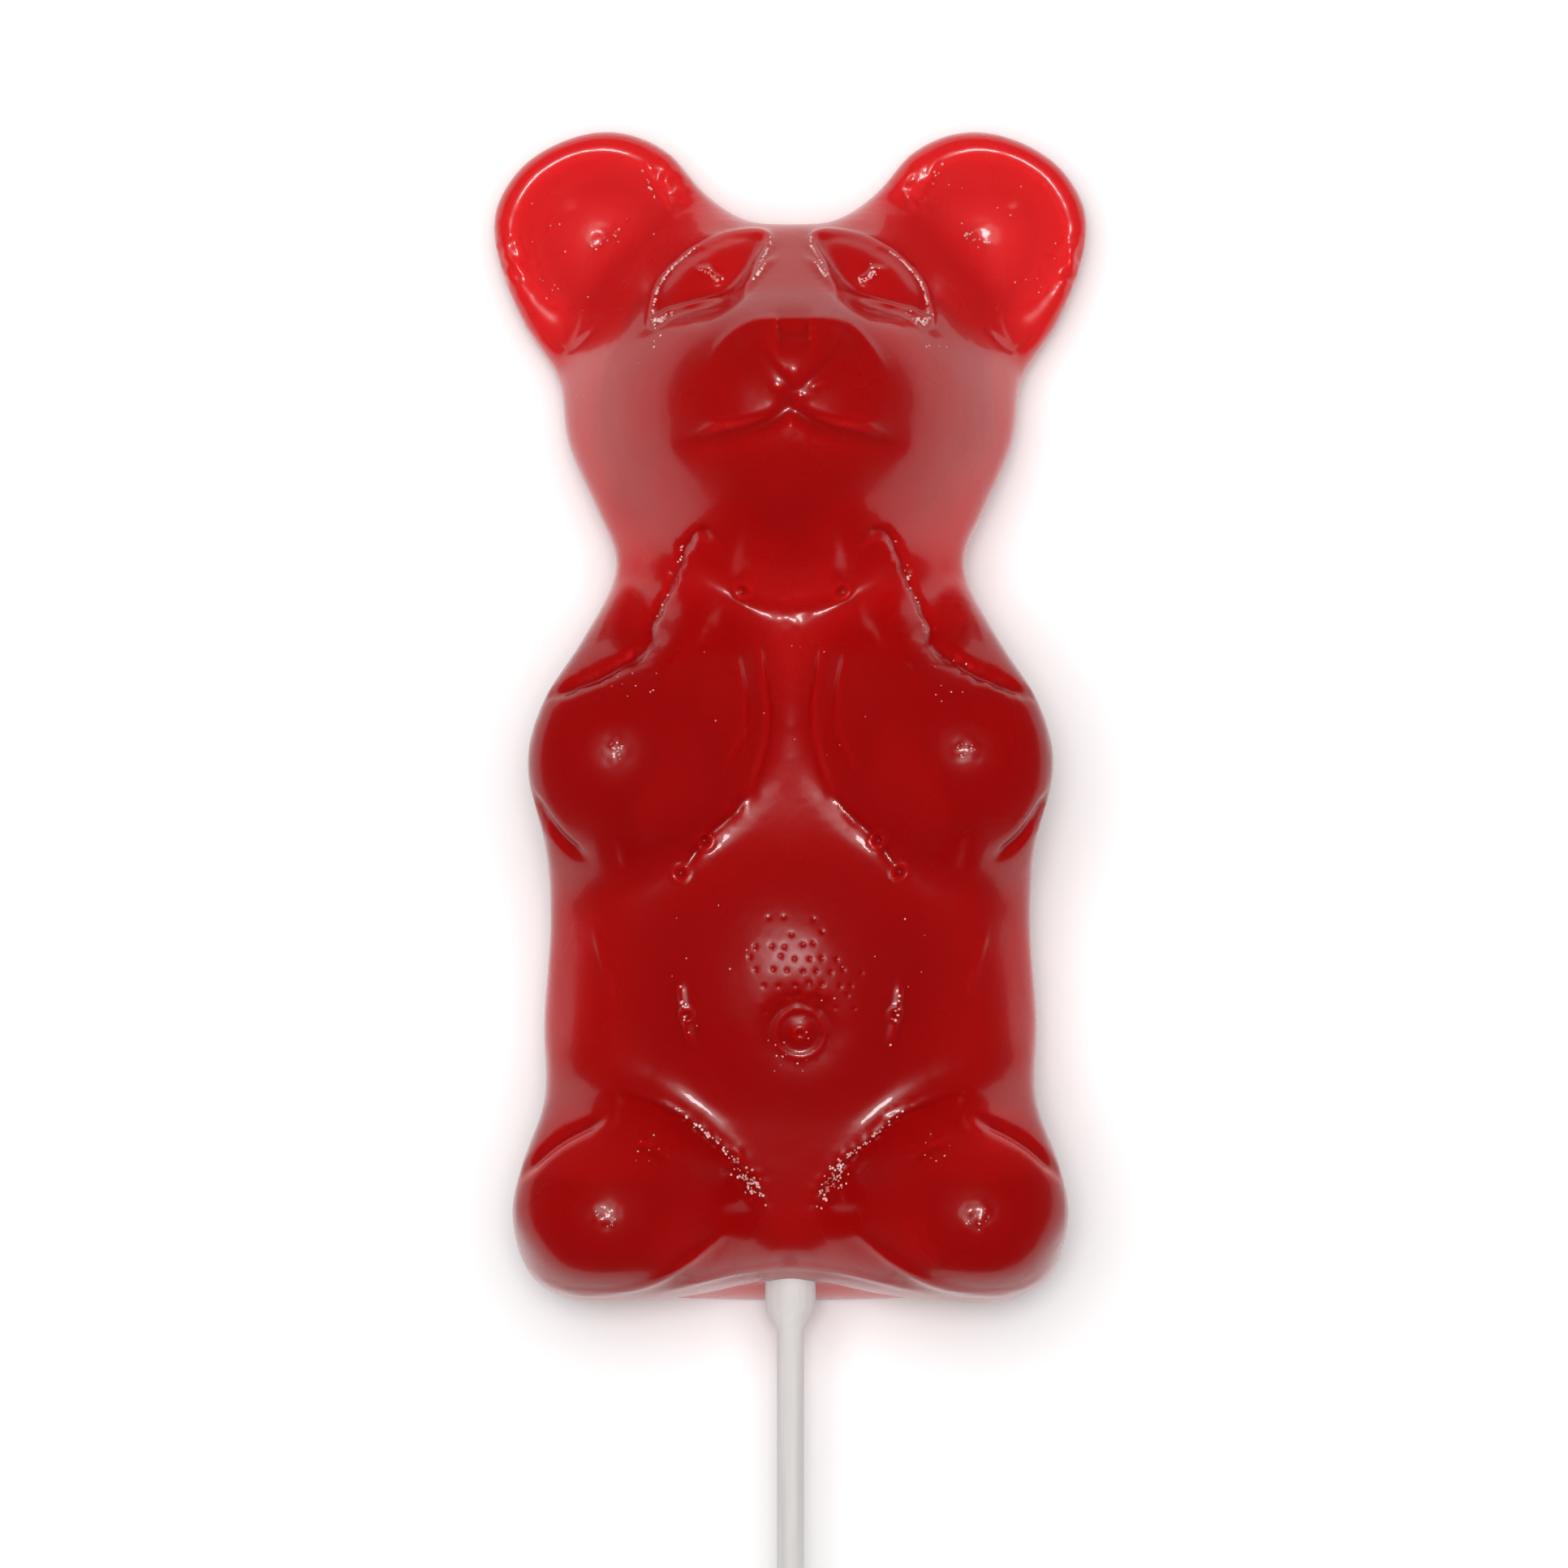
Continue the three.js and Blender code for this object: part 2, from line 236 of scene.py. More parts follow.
def addTwoTones(tree, value, places, colors):
    ramp = tree.nodes.new("ShaderNodeValToRGB")
    for stop, place, color in zip(ramp.color_ramp.elements, places, colors):
        stop.position = place
        stop.color = color
    tree.links.new(value, ramp.inputs["Fac"])
    return ramp.outputs["Color"]


def makePatchGroup():
    # 1 near a place on the bear, falling to 0 at the reach
    group = bpy.data.node_groups.new("softPatch", "ShaderNodeTree")
    for name in ("Place", "Centre"):
        group.interface.new_socket(name, in_out="INPUT", socket_type="NodeSocketVector")
    group.interface.new_socket("Reach", in_out="INPUT", socket_type="NodeSocketFloat")
    group.interface.new_socket("Mask", in_out="OUTPUT", socket_type="NodeSocketFloat")
    start = group.nodes.new("NodeGroupInput")
    end = group.nodes.new("NodeGroupOutput")
    gap = group.nodes.new("ShaderNodeVectorMath")
    gap.operation = "DISTANCE"
    group.links.new(start.outputs["Place"], gap.inputs[0])
    group.links.new(start.outputs["Centre"], gap.inputs[1])
    share = addMath(group, "DIVIDE", gap.outputs["Value"], start.outputs["Reach"])
    group.links.new(addRange(group, share, gummyLook["patchCore"], 1, 1, 0), end.inputs["Mask"])
    return group


def addPatch(tree, group, place, centre, reach):
    node = tree.nodes.new("ShaderNodeGroup")
    node.node_tree = group
    tree.links.new(place, node.inputs["Place"])
    node.inputs["Centre"].default_value = centre
    node.inputs["Reach"].default_value = reach
    return node.outputs["Mask"]


def onBear(x, height, z):
    return Vector((x * mm, baseY + height * mm, z * mm))


def makeGummyMaterial(patchGroup):
    material, tree, shader = newMaterial("gummyRed")
    link = tree.links.new
    place = tree.nodes.new("ShaderNodeTexCoord").outputs["Object"]

    thickness = tree.nodes.new("ShaderNodeAttribute")
    thickness.attribute_name = "thickness"
    mottle = addNode(tree, "ShaderNodeTexNoise", Scale=gummyLook["mottleScale"], Detail=3)
    link(place, mottle.inputs["Vector"])
    spread = gummyLook["mottle"] * gummyLook["thickest"]
    shift = addRange(tree, mottle.outputs["Fac"], *gummyLook["mottleRange"], -spread / 2, spread / 2)
    depth = addMath(tree, "ADD", thickness.outputs["Fac"], shift)
    # lighter head and darker belly than the thickness alone gives
    for centre, reach, change in gummyLook["shades"].values():
        shade = addPatch(tree, patchGroup, place, onBear(*centre), reach * mm)
        depth = addMath(tree, "ADD", depth, addMath(tree, "MULTIPLY", shade, change))
    depth = addMath(tree, "DIVIDE", depth, gummyLook["thickest"])
    # the red by thickness is partly the gummy's own colour and partly painted light: thin parts are made
    # lighter as if lit through
    tones = tree.nodes.new("ShaderNodeValToRGB")
    tones.color_ramp.interpolation = "EASE"
    stops = tones.color_ramp.elements
    for _ in gummyLook["tones"][2:]:
        stops.new(0.5)
    for stop, (thick, tone) in zip(stops, gummyLook["tones"]):
        stop.position = thick / gummyLook["thickest"]
        stop.color = (*tone, 1)
    link(depth, tones.inputs["Fac"])
    link(tones.outputs["Color"], shader.inputs["Base Color"])

    ripple = addNode(tree, "ShaderNodeTexNoise", Scale=gummyLook["rippleScale"], Detail=2)
    link(place, ripple.inputs["Vector"])
    bump = addNode(tree, "ShaderNodeBump", Strength=1, Distance=gummyLook["rippleHeight"])
    link(ripple.outputs["Fac"], bump.inputs["Height"])
    link(bump.outputs["Normal"], shader.inputs["Normal"])
    link(bump.outputs["Normal"], shader.inputs["Coat Normal"])

    patch = addPatch(tree, patchGroup, place, onBear(*gummyLook["dullCentre"]), gummyLook["dullReach"] * mm)
    coat = addRange(tree, patch, 0, 1, gummyLook["coat"], gummyLook["dullCoat"], "LINEAR")
    link(coat, shader.inputs["Coat Weight"])
    smooth = addRange(tree, mottle.outputs["Fac"], *gummyLook["mottleRange"], *gummyLook["roughness"])
    link(smooth, shader.inputs["Roughness"])
    shader.inputs["Coat Roughness"].default_value = gummyLook["coatRoughness"]
    shader.inputs["IOR"].default_value = gummyLook["ior"]
    shader.inputs["Subsurface Weight"].default_value = 1
    shader.inputs["Subsurface Radius"].default_value = gummyLook["scatterRadius"]
    shader.inputs["Subsurface Scale"].default_value = gummyLook["scatterDepth"]
    return material


def makeBubbleGlintMaterial():
    # pale pinks for the bubbles: painted highlight
    material, tree, shader = newMaterial("bubbleGlintPaint")
    link = tree.links.new
    place = tree.nodes.new("ShaderNodeTexCoord").outputs["Object"]
    cloud = addNode(tree, "ShaderNodeTexNoise", Scale=bubbleAndGlintLook["grain"], Detail=2)
    link(place, cloud.inputs["Vector"])
    colors = (bubbleAndGlintLook["clear"], bubbleAndGlintLook["paleGlint"])
    tone = addTwoTones(tree, cloud.outputs["Fac"], bubbleAndGlintLook["toneRange"], colors)
    link(tone, shader.inputs["Base Color"])
    roughness = addRange(tree, cloud.outputs["Fac"], *bubbleAndGlintLook["roughRange"], *bubbleAndGlintLook["roughness"])
    link(roughness, shader.inputs["Roughness"])
    shader.inputs["Coat Weight"].default_value = bubbleAndGlintLook["coat"]
    return material


def makePaperMaterial():
    material, tree, shader = newMaterial("stickPaper")
    link = tree.links.new
    place = tree.nodes.new("ShaderNodeTexCoord").outputs["Object"]
    stretch = addNode(tree, "ShaderNodeMapping", Scale=paperLook["fibreScale"])
    link(place, stretch.inputs["Vector"])
    fibres = addNode(tree, "ShaderNodeTexNoise", Scale=1, Detail=4)
    link(stretch.outputs["Vector"], fibres.inputs["Vector"])
    colors = (paperLook["dark"], paperLook["light"])
    tone = addTwoTones(tree, fibres.outputs["Fac"], paperLook["toneRange"], colors)
    link(tone, shader.inputs["Base Color"])
    bump = addNode(tree, "ShaderNodeBump", Strength=1, Distance=paperLook["fibreHeight"])
    link(fibres.outputs["Fac"], bump.inputs["Height"])
    link(bump.outputs["Normal"], shader.inputs["Normal"])
    roughRange = (*paperLook["roughRange"], *paperLook["roughness"])
    roughness = addRange(tree, fibres.outputs["Fac"], *roughRange, "LINEAR")
    link(roughness, shader.inputs["Roughness"])
    shader.inputs["Coat Weight"].default_value = paperLook["coat"]
    shader.inputs["Coat Roughness"].default_value = paperLook["coatRoughness"]
    return material


gummyRed = makeGummyMaterial(makePatchGroup())
bubbleGlintPaint = makeBubbleGlintMaterial()
stickPaper = makePaperMaterial()
print("materials ready")


# The bear

bear = {
    "weld": 0.002 * mm,
    "boreRadius": 2.95 * mm,
    "voxel": 0.62 * mm,
    "smoothRounds": 4,
    "smoothShare": 0.5,
    "fineRounds": 3,
    "fineReach": 1.1,  # mm around a stroke where the mesh is made finer
    "flatShare": 0.9995,  # faces that point this squarely back are the flat back
    "flatAngle": math.radians(0.5),
    "frontSlope": 0.12,  # strokes only press on skin that faces forward more than this
    "frontGain": 4,
    "strokeEnd": 0.25,  # share of the lift left at the ends of an open stroke, and how fast it grows
    "strokeGrowth": 8,
    "unevenness": 0.07 * mm,
    "unevenScale": 190,
    "raggedScale": 0.9,  # waves a mm in a ragged edge, and the layer of noise they come from
    "raggedSlice": 7,
    "crumpleScale": 1.1,
    "crumpleSlice": 3,
    "crumpleFade": 1.5,
    "rayStart": 0.15 * mm,  # how far under the skin its thickness is measured from
}

# Strokes pressed into the skin or raised from it: places as (x, height) in mm, half width and lift in mm.
# The ones in "both" lie on the left and are mirrored to the right.
bothStrokes = {
    "eyeRim": {
        "path": [
            (-13.6, 96.8), (-10.4, 98.1), (-8.1, 98.7), (-6.2, 98.9), (-4.6, 99.9), (-3.0, 102.6),
            (-1.9, 104.6), (-2.6, 105.9), (-5.8, 105.7), (-8.9, 104.6), (-11.6, 102.6), (-13.2, 100.3),
            (-13.6, 96.8),
        ],
        "width": 0.44,
        "lift": 0.46,
    },
    "eyeCorner": {
        "path": [(-13.7, 98.2), (-13.5, 96.7), (-12.5, 96.9), (-11.0, 97.9)],
        "width": 0.5,
        "lift": 0.3,
    },
    "eyeSparkAcross": {
        "path": [(-9.1, 102.2), (-7.8, 101.6), (-6.9, 100.9)],
        "width": 0.36,
        "lift": 0.32,
    },
    "eyeSparkDown": {
        "path": [(-8.0, 102.7), (-7.9, 101.4), (-7.2, 100.7), (-6.6, 101.5)],
        "width": 0.36,
        "lift": 0.32,
    },
    "eyeInnerLine": {
        "path": [(-1.5, 103.2), (-2.6, 102.0), (-3.4, 100.9), (-4.6, 99.4)],
        "width": 0.32,
        "lift": 0.3,
    },
    "lipFold": {
        "path": [(0.4, 88.6), (-2.6, 86.2), (-6.6, 85.4), (-10.6, 84.7)],
        "width": 0.8,
        "lift": -0.4,
    },
    "lipRidge": {
        "path": [(-0.8, 88.2), (-3.2, 87.4), (-6.4, 87.0), (-8.8, 87.0)],
        "width": 0.6,
        "lift": 0.2,
    },
    "bibCrease": {
        "path": [
            (-6.6, 75.0), (-8.7, 76.5), (-10.0, 75.7), (-11.2, 72.6), (-12.4, 69.9), (-13.8, 67.1),
            (-13.2, 65.6),
        ],
        "width": 0.4,
        "lift": -0.4,
        "ragged": 0.35,
    },
    "shoulderFold": {
        "path": [(-13.2, 65.6), (-16.3, 63.4), (-19.6, 61.8), (-23.8, 60.2)],
        "width": 0.6,
        "lift": -0.6,
        "ragged": 0.3,
    },
    "chestRidge": {
        "path": [(-3.2, 66.0), (-2.8, 62.4), (-2.1, 58.5), (-2.8, 54.2), (-4.2, 50.6)],
        "width": 0.35,
        "lift": 0.22,
    },
    "chestLine": {
        "path": [(-5.6, 65.0), (-4.6, 61.0), (-4.4, 57.0), (-6.6, 53.0)],
        "width": 0.3,
        "lift": 0.16,
    },
    "armCrease": {
        "path": [(-4.1, 50.8), (-5.4, 48.8), (-7.5, 47.2), (-8.6, 46.0), (-10.6, 43.1)],
        "width": 0.4,
        "lift": -0.34,
        "ragged": 0.2,
    },
    "underArm": {
        "path": [(-25.4, 50.8), (-23.8, 48.2), (-22.1, 46.0), (-20.2, 44.6)],
        "width": 0.55,
        "lift": -0.55,
    },
    "waistTick": {
        "path": [(-10.7, 32.5), (-10.5, 30.6), (-10.1, 28.4), (-9.6, 26.0)],
        "width": 0.36,
        "lift": 0.26,
    },
    "flankTick": {
        "path": [(-19.1, 37.4), (-17.8, 32.8), (-17.6, 30.6)],
        "width": 0.4,
        "lift": 0.12,
    },
    "groinFold": {
        "path": [(-16.1, 21.8), (-10.7, 19.8), (-8.4, 17.7), (-6.2, 15.9), (-4.5, 14.2), (-2.3, 10.8)],
        "width": 0.42,
        "lift": -0.36,
        "ragged": 0.25,
    },
    "footTop": {
        "path": [(-26.2, 13.6), (-23.8, 16.2), (-21.3, 17.8), (-18.2, 19.2)],
        "width": 0.55,
        "lift": -0.5,
    },
    "footTick": {
        "path": [(-14.8, 16.8), (-13.4, 16.4), (-11.8, 15.3)],
        "width": 0.4,
        "lift": 0.14,
    },
    "soleFold": {
        "path": [(-26.0, 4.7), (-23.4, 2.6), (-19.5, 1.9), (-14.4, 2.8), (-10.1, 5.2), (-6.6, 7.8)],
        "width": 0.5,
        "lift": 0.3,
    },
    "archFold": {
        "path": [(-13.5, 1.9), (-9.2, 3.2), (-4.9, 4.2), (0, 4.4)],
        "width": 0.4,
        "lift": 0.22,
    },
    "earFoot": {
        "path": [(-14.3, 113.4), (-13.4, 111.0), (-11.6, 108.4)],
        "width": 0.3,
        "lift": 0.22,
        "ragged": 0.15,
    },
    "earCorner": {
        "path": [(-24.6, 96.8), (-22.2, 94.0), (-19.4, 96.6)],
        "width": 0.3,
        "lift": -0.2,
    },
}


def ringPath(x, height, radius, corners=12):
    turns = [math.tau * k / corners for k in range(corners + 1)]
    return [(x + radius * math.cos(turn), height + radius * math.sin(turn)) for turn in turns]


middleStrokes = {
    "muzzleTop": {
        "path": [
            (-7.8, 92.5), (-6.6, 94.6), (-4.6, 96.2), (-2.6, 96.8), (4.7, 96.8), (6.4, 95.8),
            (7.8, 94.0), (9.0, 92.0),
        ],
        "width": 0.5,
        "lift": 0.15,
    },
    "noseEdge": {
        "path": [
            (-4.2, 96.2), (-2.6, 93.2), (-0.5, 90.5), (0.6, 89.6), (1.8, 90.6), (4.4, 93.6),
            (5.4, 96.2),
        ],
        "width": 0.5,
        "lift": -0.14,
    },
    "nosePadTop": {
        "path": [(-1.5, 95.4), (2.1, 95.4)],
        "width": 1.7,
        "lift": -0.7,
    },
    "nosePadTip": {
        "path": [(-0.3, 91.2), (0.9, 91.2)],
        "width": 1.3,
        "lift": 0.1,
    },
    "noseTipLeft": {
        "path": [(-1.9, 90.3), (-0.6, 89.9)],
        "width": 0.45,
        "lift": 0.16,
    },
    "noseTipRight": {
        "path": [(1.9, 90.0), (3.6, 90.7)],
        "width": 0.4,
        "lift": 0.14,
    },
    "noseTipDown": {
        "path": [(0.9, 89.5), (0.6, 88.0)],
        "width": 0.45,
        "lift": 0.2,
    },
    "collarFill": {
        "path": [(-5.2, 71.4), (0, 69.6), (5.2, 71.4)],
        "width": 1.9,
        "lift": 0.8,
    },
    "navelRing": {
        "path": ringPath(0.9, 27.5, 2.45),
        "width": 0.35,
        "lift": 0.2,
    },
}

# Small pits on the belly, closest in the middle: lengths in mm.
pits = {
    "seed": 4,
    "centre": (1.0, 33.5),
    "reach": 10.5,
    "spacing": 1.45,
    "rowShare": 0.87,
    "stray": 0.17,  # share of the spacing
    "radius": 0.21,
    "depth": 0.11,
    "evenShare": 0.35,  # nearer the middle than this share of the reach no pit is missing
    "thinning": 1.4,  # how fast they get fewer beyond it
    "navelBelow": -6.2,
    "navelReach": 3.1,
    "margin": 0.35,
}

dentShape = {
    "rimLift": 0.22,  # mm
    "rimWidth": 0.35,  # share of the radius
    "depth": 0.35,  # mm
    "width": 0.7,
}

# Round dents with a raised rim, left by bubbles: x, height, radius in mm.
bubbleDents = [
    (-4.6, 70.7, 0.8), (4.9, 70.6, 0.8), (-8.3, 46.1, 0.7), (8.5, 46.2, 0.7), (-10.7, 43.0, 0.7),
    (10.6, 43.1, 0.7), (-10.1, 29.2, 0.55), (10.2, 29.3, 0.55), (0.9, 27.4, 0.5),
]
# Places where the skin is crumpled: x, height, reach, strength in mm.
crumples = [
    (-16.9, 55.0, 2.2, 0.12), (17.1, 55.1, 2.2, 0.12), (-18.1, 9.6, 2.4, 0.12),
    (18.2, 9.7, 2.4, 0.12), (-5.4, 15.0, 1.8, 0.2), (5.6, 14.8, 1.8, 0.2), (-3.6, 12.4, 2.2, 0.25),
    (3.8, 12.2, 2.2, 0.25), (-28.0, 103.6, 3.6, 0.4), (27.9, 103.2, 3.6, 0.4),
    (-12.2, 110.4, 3.0, 0.35), (12.4, 110.2, 3.0, 0.35), (2.0, 30.8, 2.4, 0.2),
    (1.2, 84.6, 1.6, 0.1), (-18.4, 105.7, 2.6, 0.1), (18.6, 105.6, 2.6, 0.1),
    (-23.9, 101.3, 2.6, 0.12), (24.1, 101.2, 2.6, 0.12), (0.2, 69.2, 3.6, 0.1),
]


def copyOfNode(name):
    bm = bmesh.new()
    bm.from_mesh(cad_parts[name].data)
    bmesh.ops.remove_doubles(bm, verts=bm.verts, dist=bear["weld"])
    return bm


def closeBore(bm):
    # the stick fills the bore, so its wall goes and its mouth is closed
    axisZ = (stickLow.z + stickHigh.z) / 2
    for v in bm.verts:
        v.tag = math.hypot(v.co.x, v.co.z - axisZ) < bear["boreRadius"]
    bmesh.ops.delete(bm, geom=[f for f in bm.faces if all(v.tag for v in f.verts)], context="FACES")
    bmesh.ops.holes_fill(bm, edges=[e for e in bm.edges if e.is_boundary])
    bmesh.ops.triangulate(bm, faces=[f for f in bm.faces if len(f.verts) > 4])


def withModifier(piece, kind, **settings):
    modifier = piece.modifiers.new(kind, kind)
    for name, value in settings.items():
        setattr(modifier, name, value)
    graph = bpy.context.evaluated_depsgraph_get()
    made = bpy.data.meshes.new_from_object(piece.evaluated_get(graph))
    piece.modifiers.clear()
    piece.data = made


def softened(path):
    # rounds the corners of a path by cutting them twice
    points = [Vector(p) for p in path]
    for _ in range(2):
        cut = [a.lerp(b, t) for a, b in zip(points, points[1:]) for t in (0.25, 0.75)]
        points = [points[0], *cut[1:-1], points[-1]]
    return points


def allStrokes():
    strokes = [(softened(stroke["path"]), stroke) for stroke in middleStrokes.values()]
    for stroke in bothStrokes.values():
        path = softened(stroke["path"])
        strokes.append((path, stroke))
        strokes.append(([Vector((-p.x, p.y)) for p in path], stroke))
    return strokes


def distanceToPath(places, path):
    # for each place the distance to the path and the share of the path passed there
    nearest = np.full(len(places), np.inf)
    passed = np.zeros(len(places))
    for k, (a, b) in enumerate(zip(path, path[1:])):
        start = np.array(a)
        span = np.array(b - a)
        t = np.clip((places - start) @ span / max(span @ span, 1e-9), 0, 1)
        gap = np.linalg.norm(places - start - t[:, None] * span, axis=1)
        closer = gap < nearest
        nearest[closer] = gap[closer]
        passed[closer] = (k + t[closer]) / (len(path) - 1)
    return nearest, passed


def frontPlaces(bm):
    # x and height of every vertex in mm, and how squarely it faces forward
    places = np.array([(v.co.x / mm, (v.co.y - baseY) / mm) for v in bm.verts])
    facing = np.array([v.normal.z for v in bm.verts])
    return places, np.clip((facing - bear["frontSlope"]) * bear["frontGain"], 0, 1)


def pitPlaces():
    pick = random.Random(pits["seed"])
    rows = int(pits["reach"] / pits["spacing"] / pits["rowShare"])
    found = []
    for row in range(-rows, rows + 1):
        for column in range(-rows, rows + 1):
            x = (column + row % 2 / 2 + pick.uniform(-1, 1) * pits["stray"]) * pits["spacing"]
            y = (row * pits["rowShare"] + pick.uniform(-1, 1) * pits["stray"]) * pits["spacing"]
            share = math.hypot(x, y) / pits["reach"]
            missing = pick.random() < pits["thinning"] * share
            nearNavel = math.hypot(x, y - pits["navelBelow"]) < pits["navelReach"]
            if not nearNavel and (share < pits["evenShare"] or not missing):
                found.append((pits["centre"][0] + x, pits["centre"][1] + y, 1 - share / 2))
    return found


def distanceToSpot(places, x, height):
    return np.hypot(places[:, 0] - x, places[:, 1] - height)


def waviness(places, scale, layer):
    return np.array([noise.noise(Vector((x * scale, height * scale, layer))) for x, height in places])


def nearDetail(places):
    near = np.zeros(len(places), dtype=bool)
    for path, _ in allStrokes():
        near |= distanceToPath(places, path)[0] < bear["fineReach"]
    for x, height, reach in [dent[:3] for dent in bubbleDents] + [crumple[:3] for crumple in crumples]:
        near |= distanceToSpot(places, x, height) < reach + bear["fineReach"]
    return near | aroundPits(places, bear["fineReach"])


def aroundPits(places, margin):
    near = np.zeros(len(places), dtype=bool)
    for x, height, _ in pitPlaces():
        near |= distanceToSpot(places, x, height) < pits["radius"] + margin
    return near


def nearPits(places):
    return aroundPits(places, pits["margin"])


def smoothSkin(bm, rounds):
    axes = {"use_axis_x": True, "use_axis_y": True, "use_axis_z": True}
    for _ in range(rounds):
        bmesh.ops.smooth_vert(bm, verts=bm.verts, factor=bear["smoothShare"], **axes)
    bm.normal_update()


def flattenBack(bm):
    # the flat back needs only a few faces
    for v in bm.verts:
        v.tag = v.normal.z < -bear["flatShare"]
    edges = [e for e in bm.edges if e.verts[0].tag and e.verts[1].tag]
    verts = [v for v in bm.verts if v.tag]
    bmesh.ops.dissolve_limit(bm, angle_limit=bear["flatAngle"], verts=verts, edges=edges)
    bmesh.ops.triangulate(bm, faces=[f for f in bm.faces if len(f.verts) > 4])


def refineWhere(bm, isNear):
    places, facing = frontPlaces(bm)
    near = isNear(places) & (facing > 0)
    for v, fine in zip(bm.verts, near):
        v.tag = bool(fine)
    edges = [e for e in bm.edges if e.verts[0].tag and e.verts[1].tag]
    bmesh.ops.subdivide_edges(bm, edges=edges, cuts=1, use_grid_fill=True)
    smoothSkin(bm, bear["fineRounds"])


def fadedEnds(passed):
    toEnd = np.minimum(passed, 1 - passed)
    return np.clip(toEnd * bear["strokeGrowth"] + bear["strokeEnd"], 0, 1)


def pressStrokes(bm):
    places, facing = frontPlaces(bm)
    lift = np.zeros(len(places))
    for path, stroke in allStrokes():
        gap, passed = distanceToPath(places, path)
        ragged = stroke.get("ragged", 0)
        if ragged:
            gap = gap + ragged * waviness(places, bear["raggedScale"], bear["raggedSlice"])
        ends = 1.0 if path[0] == path[-1] else fadedEnds(passed)
        lift += stroke["lift"] * ends * np.exp(-((gap / stroke["width"]) ** 2))
    for x, height, radius in bubbleDents:
        q = distanceToSpot(places, x, height) / radius
        rim = dentShape["rimLift"] * np.exp(-(((q - 1) / dentShape["rimWidth"]) ** 2))
        lift += rim - dentShape["depth"] * np.exp(-((q / dentShape["width"]) ** 2))
    for x, height, share in pitPlaces():
        lift -= share * pits["depth"] * np.exp(-((distanceToSpot(places, x, height) / pits["radius"]) ** 2))
    for x, height, reach, strength in crumples:
        q = distanceToSpot(places, x, height) / reach
        inside = q < 1
        fold = waviness(places[inside], bear["crumpleScale"], bear["crumpleSlice"])
        lift[inside] += strength * fold * np.clip(bear["crumpleFade"] * (1 - q[inside]), 0, 1)
    lift *= facing * mm
    moves = [v.normal.copy() for v in bm.verts]
    for v, normal, amount in zip(bm.verts, moves, lift):
        wave = noise.noise(v.co * bear["unevenScale"]) * bear["unevenness"]
        v.co += normal * (amount + wave * max(0.0, normal.z))
    bm.normal_update()


def chord(tree, start, direction):
    hit = tree.ray_cast(start, direction)
    return hit[3] / mm if hit[3] is not None else 0.0


def thicknessOf(bm):
    # the shorter of the ways through the gummy: straight in from the skin, or from front to back
    tree = BVHTree.FromBMesh(bm)
    up = Vector((0, 0, 1))
    through = []
    for v in bm.verts:
        start = v.co - v.normal * bear["rayStart"]
        through.append(min(chord(tree, start, -v.normal), chord(tree, start, up) + chord(tree, start, -up)))
    return through


def makeBear():
    bm = copyOfNode("gummy_bear")
    closeBore(bm)
    piece = toObject(bm, "bear")
    withModifier(piece, "REMESH", mode="VOXEL", voxel_size=bear["voxel"])
    bm = bmesh.new()
    bm.from_mesh(piece.data)
    print("remeshed:", len(bm.faces), "faces")
    smoothSkin(bm, bear["smoothRounds"])
    flattenBack(bm)
    refineWhere(bm, nearDetail)
    refineWhere(bm, nearPits)
    pressStrokes(bm)
    print("sculpted:", sum(len(f.verts) - 2 for f in bm.faces), "triangles")
    through = thicknessOf(bm)
    bm.to_mesh(piece.data)
    bm.free()
    layer = piece.data.attributes.new("thickness", "FLOAT", "POINT")
    layer.data.foreach_set("value", through)
    piece.data.shade_smooth()
    piece.data.materials.clear()
    piece.data.materials.append(gummyRed)
    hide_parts("gummy_bear")
    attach(piece, "root")
    return piece


bearPiece = makeBear()
print("bear ready")
